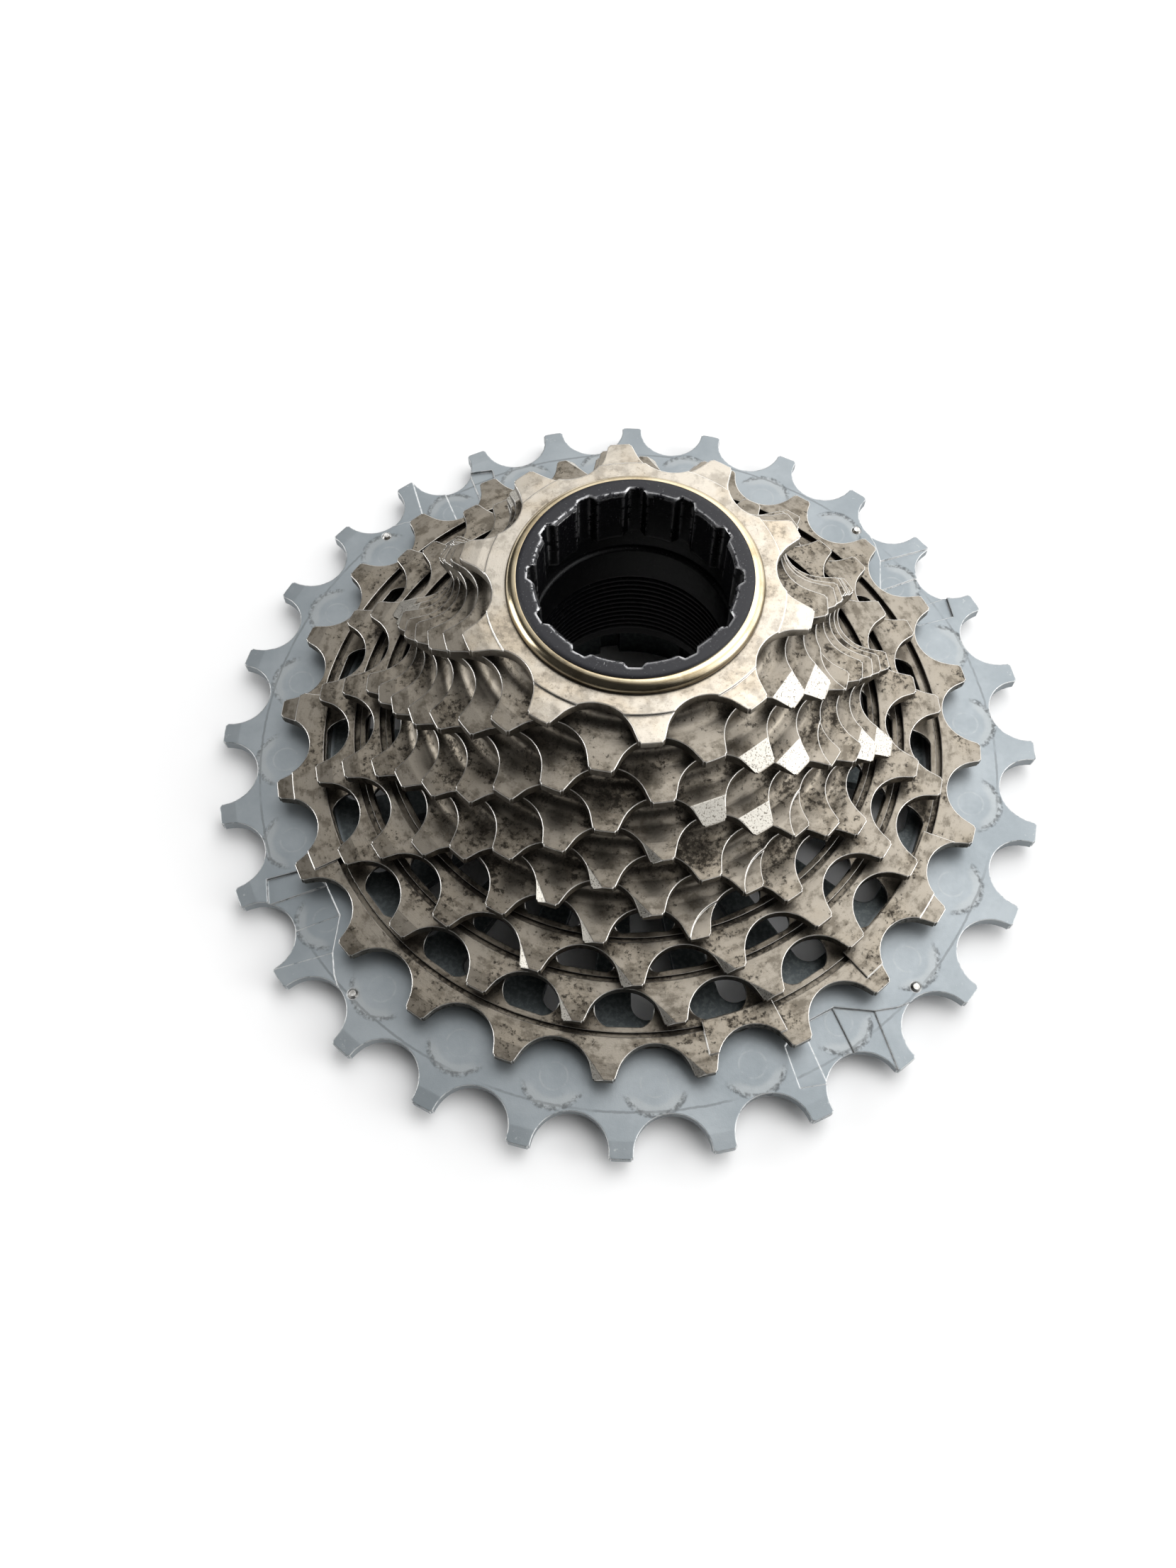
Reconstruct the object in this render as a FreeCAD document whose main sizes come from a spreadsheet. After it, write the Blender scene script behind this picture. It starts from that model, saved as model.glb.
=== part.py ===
import FreeCAD, Part
import math
import os
import Sketcher

# A twelve-speed road cassette: eleven nickel-plated steel sprockets on a windowed dome,
# an alloy 28-tooth sprocket that carries them, and a lock tube that turns inside.
# Frame: origin at the centre of the inboard hub face, +Z along the axle, outboard.

doc = FreeCAD.newDocument("CassetteSprocket")
sizes = doc.addObject("Spreadsheet::Sheet", "Sizes")

# teeth: (azimuth of one tooth tip in degrees, tip height over the pitch circle, tip width)
COGS = {
    28: (10.6, 1.20, 3.1),
    24: (10.0, 0.45, 2.8),
    21: (2.1, 0.50, 2.8),
    19: (3.9, 0.50, 2.8),
    17: (7.3, 0.50, 2.8),
    16: (3.1, 0.15, 2.85),
    15: (22.3, 0.15, 2.85),
    14: (18.5, 0.15, 2.85),
    13: (12.4, 0.10, 2.9),
    12: (6.3, 0.10, 2.9),
    11: (30.0, 0.10, 2.9),
    10: (21.5, 0.10, 2.9),
}
ORDER = list(COGS)

# azimuths of the teeth that are ground so that the chain can climb: the leading flank is
# chamfered, the whole tip slants down, or a round cutter has lowered the trailing side
CHAMFERED = {
    24: (264.6, 279.6, 84.6, 99.6),
    21: (258.9, 276.1, 293.2, 104.7),
    19: (249.9, 268.9, 287.8, 98.3),
    17: (261.1, 70.5),
    16: (250.3, 272.8, 70.3),
    15: (262.0, 94.0),
    14: (275.3, 95.3),
}
SLANTED = {
    17: (345.9, 155.2),
    16: (340.3, 160.3),
    14: (301.1, 121.1),
    13: (289.0, 316.7, 122.9),
    12: (306.0, 336.0, 126.0),
    11: (324.2, 127.8),
}
LOWERED = {
    17: (282.3, 112.9),
    16: (295.3, 115.3),
    15: (310.0, 142.0),
    14: (326.8, 146.8),
    13: (344.4, 150.6),
}
# raised pads on the face of the 24-tooth ring: start and end azimuth
PADS = ((281.0, 293.6), (309.0, 337.5), (172.0, 206.0))

# recesses of one shift ramp: depth, then corners as (radius, degrees from ramp_start)
RAMP = {
    "ramps": (
        "Sizes.ramp_middle",
        ((53.5, 0.0), (54.5, 3.7), (58.6, 6.0), (58.6, 12.2),
         (50.3, 15.4), (46.8, 10.8), (46.5, 4.6), (48.0, 0.8)),
    ),
    "ramp_steps": (
        "Sizes.ramp_deep",
        ((54.4, 3.7), (58.6, 5.0), (58.6, 8.2), (46.8, 10.6), (46.5, 4.8)),
    ),
    "ramp_shelves": (
        "Sizes.ramp_shallow",
        ((58.6, 12.2), (58.6, 18.6), (52.6, 20.4), (51.9, 18.4), (50.3, 15.4)),
    ),
}

DIMENSIONS = {
    "chain_pitch": 12.7,
    "root_depth": 4.15,
    "seat_radius": 4.9,
    "tip_round": 0.25,
    "spacing": 3.55,
    "plate": 1.6,
    "base_front": 3.4,
    "tip_bevel_reach": 2.2,
    "tip_bevel_drop": 0.18,
    "chamfer_width": 1.6,
    "chamfer_depth": 1.1,
    "chamfer_start": 134.0,
    "grind_length": 3.4,
    "grind_height": 2.6,
    "slant_reach": 2.5,
    "slant_tilt": 28.0,
    "slant_half_width": 2.7,
    "cutter_radius": 5.75,
    "cutter_depth": 0.55,
    "cutter_height": 3.0,
    "cutter_ahead": 1.7,
    "cutter_aside": 4.25,
    "pad_rise": 0.3,
    "pad_inner": 42.5,
    # barrel of the small sprockets
    "barrel_wall": 1.7,
    "guide_bore": 13.4,
    "hub_face": 17.35,
    "hub_step": 0.3,
    # windowed webs under the larger steel sprockets
    "ring_lip": 0.8,
    "ring_ledge": 1.2,
    "seam": 0.7,
    "flange_drop": 0.95,
    "flange_thick": 0.5,
    "flange_width": 1.6,
    "flange_turn": 0.5,
    "web_curve": 4.0,
    "web_wall": 1.05,
    "web_head": 2.4,
    "web_lap": 0.3,
    "window_inner": 0.8,
    "window_outer": 1.45,
    "window_length": 7.5,
    "window_arc": 0.53,
    "window_corner": 0.354,
    # largest sprocket
    "alloy_plate": 1.8,
    "hub_rise": 2.2,
    "hub_bevel": 0.6,
    "hub_radius": 21.0,
    "spline_bore": 17.2,
    "spline_depth": 1.1,
    "spline_width": 3.2,
    "spline_draft": 0.3,
    "spline_count": 9,
    "spider_count": 21,
    "spider_azimuth": 265.4,
    "spider_arm_inner": 3.2,
    "spider_arm_outer": 5.4,
    "spider_inner": 23.0,
    "spider_outer": 40.6,
    "spider_corner": 2.1,
    "spider_corner_angle": 2.8,
    "spider_shoulder": 2.0,
    "spider_foot": 1.0,
    "spider_foot_bulge": 1.08,
    "spacer_inner": 42.3,
    "spacer_outer": 44.3,
    "rivet_circle": 43.3,
    "rivet_radius": 0.6,
    "rivet_head": 1.1,
    "rivet_head_taper": 0.5,
    "rivet_head_height": 0.6,
    "rivet_count": 8,
    "rivet_end": 1.4,
    "shift_pin_circle": 51.75,
    "shift_pin_radius": 0.7,
    "shift_pin_azimuth": 44.9,
    "shift_pin_rise": 0.35,
    "ramp_count": 4,
    "ramp_start": 22.4,
    "ramp_shallow": 0.22,
    "ramp_middle": 0.4,
    "ramp_deep": 0.6,
    "pin_crown": 0.6,
    # lock tube with its flange ring and clip
    "tube_radius": 13.34,
    "tube_end": 12.5,
    "end_bevel": 0.3,
    "end_bevel_rise": 0.5,
    "tube_top": 43.9,
    "flange_edge": 13.6,
    "flange_lip": 0.16,
    "mouth_bevel": 0.35,
    "land_radius": 11.45,
    "notch_radius": 12.3,
    "notch_count": 12,
    "notch_azimuth": 28.0,
    "notch_floor": 1.5,
    "notch_mouth": 3.1,
    "notch_length": 8.0,
    "notch_opening": 0.6,
    "notch_flare": 0.2,
    "relief_radius": 12.45,
    "relief_length": 3.6,
    "thread_minor": 12.05,
    "thread_lead": 0.9,
    "thread_flank": 0.25,
    "thread_width": 0.6,
    "thread_depth": 0.3,
    "thread_overlap": 0.1,
    "thread_pitch": 1.0,
    "thread_count": 12,
    "pilot_radius": 12.4,
    "pilot_length": 1.6,
    "pilot_bevel": 0.4,
    "collar_radius": 14.9,
    "collar_gap": 0.15,
    "collar_crown": 13.75,
    "collar_round": 1.35,
    "collar_foot": 0.25,
    "clip_groove": 12.6,
    "clip_radius": 15.1,
    "clip_thick": 1.0,
    "clip_gap": 0.35,
    "clip_opening": 24.0,
}
for teeth, (azimuth, rise, width) in COGS.items():
    DIMENSIONS[f"tip_azimuth_{teeth}"] = azimuth
    DIMENSIONS[f"tip_rise_{teeth}"] = rise
    DIMENSIONS[f"tip_width_{teeth}"] = width

for row, (alias, number) in enumerate(DIMENSIONS.items(), start=1):
    sizes.set(f"A{row}", alias)
    sizes.set(f"B{row}", str(number))
    sizes.setAlias(f"B{row}", alias)
doc.recompute()


def cell(alias):
    return f"Sizes.{alias}"


def value(expression):
    result = sizes.evalExpression(str(expression))
    return float(getattr(result, "Value", result))


def pitch_radius(teeth):
    return f"(Sizes.chain_pitch / 2 / sin(180 deg / {teeth}))"


def root_radius(teeth):
    return f"({pitch_radius(teeth)} - Sizes.root_depth)"


def tip_radius(teeth):
    return f"({pitch_radius(teeth)} + Sizes.tip_rise_{teeth})"


def polar(radius, degrees):
    return (f"({radius}) * cos(({degrees}) * 1 deg)", f"({radius}) * sin(({degrees}) * 1 deg)")


def new_body(name):
    body = doc.addObject("PartDesign::Body", name)
    body.Label = name
    return body


def origin_feature(body, role):
    return next(item for item in body.Origin.OriginFeatures if item.Role == role)


def new_sketch(body, name, plane="XY_Plane", lift=None):
    sketch = body.newObject("Sketcher::SketchObject", name)
    sketch.AttachmentSupport = [(origin_feature(body, plane), "")]
    sketch.MapMode = "FlatFace"
    if lift is not None:
        sketch.setExpression("AttachmentOffset.Base.z", lift)
    return sketch


def bind(sketch, kind, geometry, point, expression):
    index = sketch.addConstraint(Sketcher.Constraint(kind, geometry, point, value(expression)))
    sketch.setExpression(f"Constraints[{index}]", expression)


def bind_radius(sketch, geometry, expression):
    index = sketch.addConstraint(Sketcher.Constraint("Radius", geometry, value(expression)))
    sketch.setExpression(f"Constraints[{index}]", expression)


def arc_between(start, end, radius, turn):
    """Arc from start to end; turn +1 runs anticlockwise, -1 clockwise."""
    chord = end - start
    height = math.sqrt(max(radius ** 2 - (chord.Length / 2) ** 2, 0.0))
    side = FreeCAD.Vector(-chord.y, chord.x, 0).normalize() * height * turn
    centre = (start + end) / 2 + side
    first, last = (start, end) if turn > 0 else (end, start)
    from_angle = math.atan2(first.y - centre.y, first.x - centre.x)
    to_angle = math.atan2(last.y - centre.y, last.x - centre.x)
    circle = Part.Circle(centre, FreeCAD.Vector(0, 0, 1), radius)
    return Part.ArcOfCircle(circle, from_angle, to_angle)


def outline(sketch, corners, arcs=None):
    """Closed outline through corners; arcs gives (radius, turn) of the edge after a corner."""
    arcs = arcs or {}
    spots = [FreeCAD.Vector(value(x), value(y), 0) for x, y in corners]
    count = len(spots)
    first = sketch.GeometryCount
    ends = []
    for i in range(count):
        start, end = spots[i], spots[(i + 1) % count]
        if i in arcs:
            radius, turn = arcs[i]
            sketch.addGeometry(arc_between(start, end, value(radius), turn), False)
            bind_radius(sketch, first + i, radius)
            ends.append((1, 2) if turn > 0 else (2, 1))
        else:
            sketch.addGeometry(Part.LineSegment(start, end), False)
            ends.append((1, 2))
    for i in range(count):
        after = (i + 1) % count
        link = Sketcher.Constraint("Coincident", first + i, ends[i][1], first + after, ends[after][0])
        sketch.addConstraint(link)
        bind(sketch, "DistanceX", first + i, ends[i][0], corners[i][0])
        bind(sketch, "DistanceY", first + i, ends[i][0], corners[i][1])


def circle_at(sketch, x, y, radius):
    centre = FreeCAD.Vector(value(x), value(y), 0)
    circle = Part.Circle(centre, FreeCAD.Vector(0, 0, 1), value(radius))
    index = sketch.addGeometry(circle, False)
    bind(sketch, "DistanceX", index, 3, x)
    bind(sketch, "DistanceY", index, 3, y)
    bind_radius(sketch, index, radius)


def revolve(body, name, corners, arcs=None, degrees=360):
    sketch = new_sketch(body, f"{name}_profile", "XZ_Plane")
    outline(sketch, corners, arcs)
    turned = body.newObject("PartDesign::Revolution", name)
    turned.Profile = sketch
    turned.ReferenceAxis = (sketch, ["V_Axis"])
    turned.Angle = degrees
    doc.recompute()
    return turned


def cut(body, name, sketch, depth, count=None):
    """Pocket of the sketch, downwards; count repeats it round the axle."""
    before = body.Shape.Volume
    pocket = body.newObject("PartDesign::Pocket", name)
    pocket.Profile = sketch
    pocket.setExpression("Length", depth)
    doc.recompute()
    if count is not None:
        pattern = body.newObject("PartDesign::PolarPattern", f"{name}_ring")
        pattern.Originals = [pocket]
        pattern.Axis = (origin_feature(body, "Z_Axis"), [""])
        pattern.Angle = 360
        pattern.setExpression("Occurrences", count)
        body.Tip = pattern
        doc.recompute()
    if body.Shape.Volume >= before - 1e-6:
        raise RuntimeError(f"{name} removed nothing from {body.Label}")


def front_of(teeth):
    return f"Sizes.base_front + Sizes.spacing * {ORDER.index(teeth)}"


def place(part, height, degrees="0"):
    part.Placement = FreeCAD.Placement(FreeCAD.Vector(0, 0, 0), FreeCAD.Rotation(FreeCAD.Vector(0, 0, 1), 1))
    part.setExpression("Placement.Base.z", height)
    part.setExpression("Placement.Rotation.Angle", degrees)


# ---- teeth, in a frame whose +X passes through the middle of a tooth gap ----

def blank_rim(teeth, thick):
    """Rim of the blank from its front face round to its back, bevelled at the tips."""
    tip = tip_radius(teeth)
    return [
        (f"{tip} - Sizes.tip_bevel_reach", "0"),
        (tip, "-Sizes.tip_bevel_drop"),
        (tip, f"-{thick} + Sizes.tip_bevel_drop / 2"),
        (f"{tip} - Sizes.tip_bevel_reach / 2", f"-{thick}"),
    ]


def cut_teeth(body, teeth, thick):
    """One roller seat with tangent flanks and rounded tooth corners, repeated round the rim."""
    sketch = new_sketch(body, "tooth_gap", lift="1")
    tip = tip_radius(teeth)
    middle = f"({root_radius(teeth)} + Sizes.seat_radius)"
    seat = value("Sizes.seat_radius")
    flank_angle = f"(180 / {teeth} - Sizes.tip_width_{teeth} / 2 / {tip} * 180 / pi)"
    corner_angle = f"({flank_angle} + Sizes.tip_round / {tip} * 180 / pi)"
    flank_end = polar(f"{tip} - Sizes.tip_round", flank_angle)
    corner_end = polar(tip, corner_angle)
    outside = polar(f"{tip} + 2", corner_angle)

    centre = FreeCAD.Vector(value(middle), 0, 0)
    corner = FreeCAD.Vector(value(flank_end[0]), value(flank_end[1]), 0)
    reach = corner - centre
    touch = math.atan2(reach.y, reach.x) + math.acos(seat / reach.Length)
    seat_circle = Part.Circle(centre, FreeCAD.Vector(0, 0, 1), seat)
    arc = sketch.addGeometry(Part.ArcOfCircle(seat_circle, touch, 2 * math.pi - touch), False)
    bind(sketch, "DistanceX", arc, 3, middle)
    sketch.addConstraint(Sketcher.Constraint("PointOnObject", arc, 3, -1))
    bind_radius(sketch, arc, "Sizes.seat_radius")

    tops = []
    for side, arc_end in ((1, 1), (-1, 2)):
        touch_point = centre + FreeCAD.Vector(math.cos(touch), side * math.sin(touch), 0) * seat
        spots = [
            FreeCAD.Vector(value(x), side * value(y), 0) for x, y in (flank_end, corner_end, outside)
        ]
        flank = sketch.addGeometry(Part.LineSegment(touch_point, spots[0]), False)
        sketch.addConstraint(Sketcher.Constraint("Tangent", arc, arc_end, flank, 1))
        rounding = arc_between(spots[0], spots[1], value("Sizes.tip_round"), -side)
        corner_arc = sketch.addGeometry(rounding, False)
        near, far = (2, 1) if side > 0 else (1, 2)
        sketch.addConstraint(Sketcher.Constraint("Coincident", flank, 2, corner_arc, near))
        bind_radius(sketch, corner_arc, "Sizes.tip_round")
        top = sketch.addGeometry(Part.LineSegment(spots[1], spots[2]), False)
        sketch.addConstraint(Sketcher.Constraint("Coincident", corner_arc, far, top, 1))
        sign = "" if side > 0 else "-1 * "
        for geometry, point, spot in ((flank, 2, flank_end), (top, 1, corner_end), (top, 2, outside)):
            bind(sketch, "DistanceX", geometry, point, spot[0])
            bind(sketch, "DistanceY", geometry, point, sign + spot[1])
        tops.append((top, spots[2]))
    (upper, upper_spot), (lower, lower_spot) = tops
    closing = sketch.addGeometry(Part.LineSegment(upper_spot, lower_spot), False)
    sketch.addConstraint(Sketcher.Constraint("Coincident", upper, 2, closing, 1))
    sketch.addConstraint(Sketcher.Constraint("Coincident", closing, 2, lower, 2))
    cut(body, "tooth_gaps", sketch, f"1 + {thick}", str(teeth))


def tooth_turn(teeth, azimuth):
    """Turns the tooth-centred frame (X outwards, Y towards rising azimuth) onto the nearest tooth."""
    step = 360 / teeth
    number = round((azimuth - value(f"Sizes.tip_azimuth_{teeth}")) / step)
    return FreeCAD.Rotation(FreeCAD.Vector(0, 0, 1), (number - 0.5) * step)


def grind(body, name, turn, corner, slope, along, width):
    """Tilted block cut away above the plane through corner that holds slope and along."""
    axes = FreeCAD.Rotation(slope, along, slope.cross(along), "ZXY")
    block = body.newObject("PartDesign::SubtractiveBox", name)
    block.Length = value("Sizes.grind_length")
    block.Width = width
    block.Height = value("Sizes.grind_height")
    block.Placement = FreeCAD.Placement(turn.multVec(corner), turn.multiply(axes))
    doc.recompute()


def chamfer_flank(body, teeth, azimuth):
    """Plane from a point low on the flank, widening and deepening to the tip."""
    seat = value("Sizes.seat_radius")
    half_pitch = math.radians(180 / teeth)
    start = math.radians(value("Sizes.chamfer_start")) - half_pitch
    gap_middle = FreeCAD.Vector(math.cos(half_pitch), -math.sin(half_pitch), 0)
    gap_middle *= value(root_radius(teeth)) + seat
    low = gap_middle + FreeCAD.Vector(math.cos(start), math.sin(start), 0) * seat
    tip = value(tip_radius(teeth))
    half_tip = value(f"Sizes.tip_width_{teeth}") / 2
    high = FreeCAD.Vector(tip, value("Sizes.chamfer_width") - half_tip, 0)
    deep = FreeCAD.Vector(tip, -half_tip, -value("Sizes.chamfer_depth"))
    along = (high - low).normalize()
    slope = deep - low
    slope = (slope - along * slope.dot(along)).normalize()
    name = f"chamfer_{azimuth:.0f}"
    grind(body, name, tooth_turn(teeth, azimuth), low, slope, along, (high - low).Length + 0.6)


def slant_tip(body, teeth, azimuth):
    tilt = math.radians(value("Sizes.slant_tilt"))
    half_width = value("Sizes.slant_half_width")
    corner = FreeCAD.Vector(value(f"{tip_radius(teeth)} - Sizes.slant_reach"), -half_width, 0)
    slope = FreeCAD.Vector(math.cos(tilt), 0, -math.sin(tilt))
    along = FreeCAD.Vector(0, 1, 0)
    grind(body, f"slant_{azimuth:.0f}", tooth_turn(teeth, azimuth), corner, slope, along, 2 * half_width)


def lower_side(body, teeth, azimuth):
    depth = value("Sizes.cutter_depth")
    ahead = value(f"{tip_radius(teeth)} + Sizes.cutter_ahead")
    centre = FreeCAD.Vector(ahead, value("Sizes.cutter_aside"), -depth)
    turn = tooth_turn(teeth, azimuth)
    cutter = body.newObject("PartDesign::SubtractiveCylinder", f"lowered_{azimuth:.0f}")
    cutter.Radius = value("Sizes.cutter_radius")
    cutter.Height = value("Sizes.cutter_height")
    cutter.Placement = FreeCAD.Placement(turn.multVec(centre), FreeCAD.Rotation())
    doc.recompute()


def grind_shift_teeth(body, teeth):
    """All the ground teeth of one sprocket."""
    for table, tool in ((CHAMFERED, chamfer_flank), (SLANTED, slant_tip), (LOWERED, lower_side)):
        for azimuth in table.get(teeth, ()):
            before = body.Shape.Volume
            tool(body, teeth, azimuth)
            if body.Shape.Volume >= before:
                raise RuntimeError(f"nothing ground from {body.Label} at {azimuth}")


# ---- steel sprockets ----

def barrel_sprocket(teeth, bore):
    """Small sprocket, with the coved spacer that carries the next smaller one on its face."""
    body = new_body(f"sprocket_{teeth}t")
    rim = blank_rim(teeth, "Sizes.plate")
    back = [(bore, "-Sizes.plate")]
    arcs = {}
    if teeth == 10:
        rim[0] = (rim[0][0], "-Sizes.hub_step")
        rim[1] = (rim[1][0], "-Sizes.hub_step - Sizes.tip_bevel_drop")
        back += [(bore, "0"), ("Sizes.hub_face", "0"), ("Sizes.hub_face", "-Sizes.hub_step")]
    else:
        gap = "(Sizes.spacing - Sizes.plate)"
        seat = root_radius(teeth - 1)
        back += [(bore, gap), (seat, gap), (f"{seat} + {gap}", "0")]
        arcs = {len(rim) + 2: (gap, 1)}
    revolve(body, "blank", rim + back, arcs)
    cut_teeth(body, teeth, "Sizes.plate")
    grind_shift_teeth(body, teeth)
    place(body, front_of(teeth), f"Sizes.tip_azimuth_{teeth} + 180 / {teeth}")
    return body


def ring_sprocket(teeth, with_spacer=False):
    """Tooth ring with a counterbore that takes the web's flange."""
    body = new_body(f"sprocket_{teeth}t")
    lip = f"({root_radius(teeth)} - Sizes.ring_lip)"
    corners = blank_rim(teeth, "Sizes.plate")
    inner = f"{lip} - Sizes.ring_ledge"
    if with_spacer:
        corners += [
            (f"{root_radius(teeth)}", "-Sizes.plate"),
            ("Sizes.spacer_outer", "-Sizes.spacing"),
            ("Sizes.spacer_inner", "-Sizes.spacing"),
            ("Sizes.spacer_inner", "-Sizes.plate"),
        ]
    corners += [
        (inner, "-Sizes.plate"),
        (inner, "-Sizes.flange_drop"),
        (lip, "-Sizes.flange_drop"),
        (lip, "0"),
    ]
    arcs = {4: ("Sizes.spacing - Sizes.plate", 1)} if with_spacer else {}
    revolve(body, "blank", corners, arcs)
    if with_spacer:
        add_pads(body, teeth)
    cut_teeth(body, teeth, "Sizes.plate")
    grind_shift_teeth(body, teeth)
    if with_spacer:
        sketch = new_sketch(body, "rivet_holes_plan", lift="-Sizes.spacing + Sizes.rivet_end")
        circle_at(sketch, "Sizes.rivet_circle", "0", "Sizes.rivet_radius")
        cut(body, "rivet_holes", sketch, "Sizes.rivet_end", "Sizes.rivet_count")
    place(body, front_of(teeth), f"Sizes.tip_azimuth_{teeth} + 180 / {teeth}")
    return body


def add_pads(body, teeth):
    """Raised pads on the ring's face, which reach over the seam of the web."""
    zero = f"(Sizes.tip_azimuth_{teeth} + 180 / {teeth})"
    outer = f"({tip_radius(teeth)} - Sizes.tip_bevel_reach)"
    for number, (start, end) in enumerate(PADS):
        sketch = new_sketch(body, f"pad_plan_{number}")
        corners = [
            polar("Sizes.pad_inner", f"{end} - {zero}"),
            polar("Sizes.pad_inner", f"{start} - {zero}"),
            polar(outer, f"{start} - {zero}"),
            polar(outer, f"{end} - {zero}"),
        ]
        outline(sketch, corners, {0: ("Sizes.pad_inner", -1), 2: (outer, 1)})
        pad = body.newObject("PartDesign::Pad", f"pad_{number}")
        pad.Profile = sketch
        pad.setExpression("Length", "Sizes.pad_rise")
        doc.recompute()


def window_web(small, large):
    """Dished ring from the counterbore of the large sprocket up to the back of the small one."""
    body = new_body(f"web_{large}t_{small}t")
    lip = f"({root_radius(large)} - Sizes.ring_lip)"
    small_root = root_radius(small)
    gap = "(Sizes.spacing - Sizes.plate)"
    bottom = "-Sizes.flange_drop"
    top = f"({bottom} + Sizes.flange_thick)"
    corners = [
        (f"{lip} - Sizes.seam", bottom),
        (f"{lip} - Sizes.seam", top),
        (f"{lip} - Sizes.flange_width", top),
        (f"{small_root} - Sizes.web_lap", gap),
        (f"{small_root} - Sizes.web_head", gap),
        (f"{small_root} - Sizes.web_head", f"{gap} - Sizes.web_wall"),
        (f"{lip} - Sizes.flange_width - Sizes.flange_turn", bottom),
    ]
    revolve(body, "dish", corners, {2: ("Sizes.web_curve", -1)})
    sketch = new_sketch(body, "window_plan", lift="Sizes.spacing")
    inner = f"({small_root} - Sizes.window_inner)"
    outer = f"({lip} - Sizes.window_outer)"
    end_radius = f"({outer} - {inner}) * Sizes.window_arc"
    straight = f"(Sizes.window_length / 2 - Sizes.window_corner * ({outer} - {inner}))"
    outline(
        sketch,
        [
            (inner, f"-1 * {straight}"),
            (outer, f"-1 * {straight}"),
            (outer, straight),
            (inner, straight),
        ],
        {0: (end_radius, 1), 2: (end_radius, 1)},
    )
    cut(body, "windows", sketch, "Sizes.spacing * 2", str(small))
    place(body, front_of(large), f"Sizes.tip_azimuth_{small} + 180 / {small}")
    return body


# ---- alloy sprocket ----

def ramp_outline(body, name, points):
    sketch = new_sketch(body, name)
    shift = "Sizes.ramp_start - Sizes.tip_azimuth_28 - 180 / 28"
    outline(sketch, [polar(str(radius), f"{shift} + {degrees}") for radius, degrees in points])
    return sketch


def alloy_sprocket():
    """Largest sprocket: toothed plate, spider windows, splined hub and four shift ramps."""
    body = new_body("sprocket_28t")
    corners = blank_rim(28, "Sizes.alloy_plate") + [
        ("Sizes.hub_radius", "-Sizes.alloy_plate"),
        ("Sizes.hub_radius", "-Sizes.base_front"),
        ("Sizes.spline_bore", "-Sizes.base_front"),
        ("Sizes.spline_bore", "Sizes.hub_rise"),
        ("Sizes.hub_radius - Sizes.hub_bevel", "Sizes.hub_rise"),
        ("Sizes.hub_radius", "Sizes.hub_rise - Sizes.hub_bevel"),
        ("Sizes.hub_radius", "0"),
    ]
    revolve(body, "blank", corners)
    cut_teeth(body, 28, "Sizes.alloy_plate")

    spider = new_sketch(body, "spider_plan", lift="1")
    half_pitch = "(180 / Sizes.spider_count)"
    middle = f"(Sizes.spider_azimuth + {half_pitch} - Sizes.tip_azimuth_28 - 180 / 28)"
    inner_half = f"({half_pitch} - Sizes.spider_arm_inner / 2 / Sizes.spider_inner * 180 / pi)"
    outer_half = f"({half_pitch} - Sizes.spider_arm_outer / 2 / Sizes.spider_outer * 180 / pi)"
    corner = "Sizes.spider_corner_angle"
    shoulder = "(Sizes.spider_outer - Sizes.spider_shoulder)"
    foot = "(Sizes.spider_inner + Sizes.spider_foot)"
    outline(
        spider,
        [
            polar(foot, f"{middle} - {inner_half}"),
            polar(shoulder, f"{middle} - {outer_half}"),
            polar("Sizes.spider_outer", f"{middle} - {outer_half} + {corner}"),
            polar("Sizes.spider_outer", f"{middle} + {outer_half} - {corner}"),
            polar(shoulder, f"{middle} + {outer_half}"),
            polar(foot, f"{middle} + {inner_half}"),
        ],
        {
            1: ("Sizes.spider_corner", 1),
            2: ("Sizes.spider_outer", 1),
            3: ("Sizes.spider_corner", 1),
            5: (f"{foot} * sin({inner_half} * 1 deg) * Sizes.spider_foot_bulge", -1),
        },
    )
    cut(body, "spider_windows", spider, "1 + Sizes.alloy_plate + 0.2", "Sizes.spider_count")

    spline = new_sketch(body, "spline_plan", lift="Sizes.hub_rise + 1")
    outline(
        spline,
        [
            ("Sizes.spline_bore - 1", "-Sizes.spline_width / 2"),
            ("Sizes.spline_bore + Sizes.spline_depth", "-Sizes.spline_width / 2 + Sizes.spline_draft"),
            ("Sizes.spline_bore + Sizes.spline_depth", "Sizes.spline_width / 2 - Sizes.spline_draft"),
            ("Sizes.spline_bore - 1", "Sizes.spline_width / 2"),
        ],
    )
    cut(body, "splines", spline, "Sizes.hub_rise + Sizes.base_front + 2", "Sizes.spline_count")

    rivets = new_sketch(body, "rivet_plan", lift="1")
    turn = "180 / 24 + Sizes.tip_azimuth_24 - Sizes.tip_azimuth_28 - 180 / 28"
    spot = polar("Sizes.rivet_circle", turn)
    circle_at(rivets, *spot, "Sizes.rivet_radius")
    cut(body, "rivet_holes", rivets, "2 + Sizes.alloy_plate", "Sizes.rivet_count")

    pins = new_sketch(body, "shift_pin_plan", lift="1")
    turn = "Sizes.shift_pin_azimuth - Sizes.tip_azimuth_28 - 180 / 28"
    circle_at(pins, *polar("Sizes.shift_pin_circle", turn), "Sizes.shift_pin_radius")
    cut(body, "shift_pin_holes", pins, "2 + Sizes.alloy_plate", "Sizes.ramp_count")

    for name, (depth, points) in RAMP.items():
        plan = ramp_outline(body, f"{name}_plan", points)
        cut(body, name, plan, depth, "Sizes.ramp_count")
    place(body, front_of(28), "Sizes.tip_azimuth_28 + 180 / 28")
    return body


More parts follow.
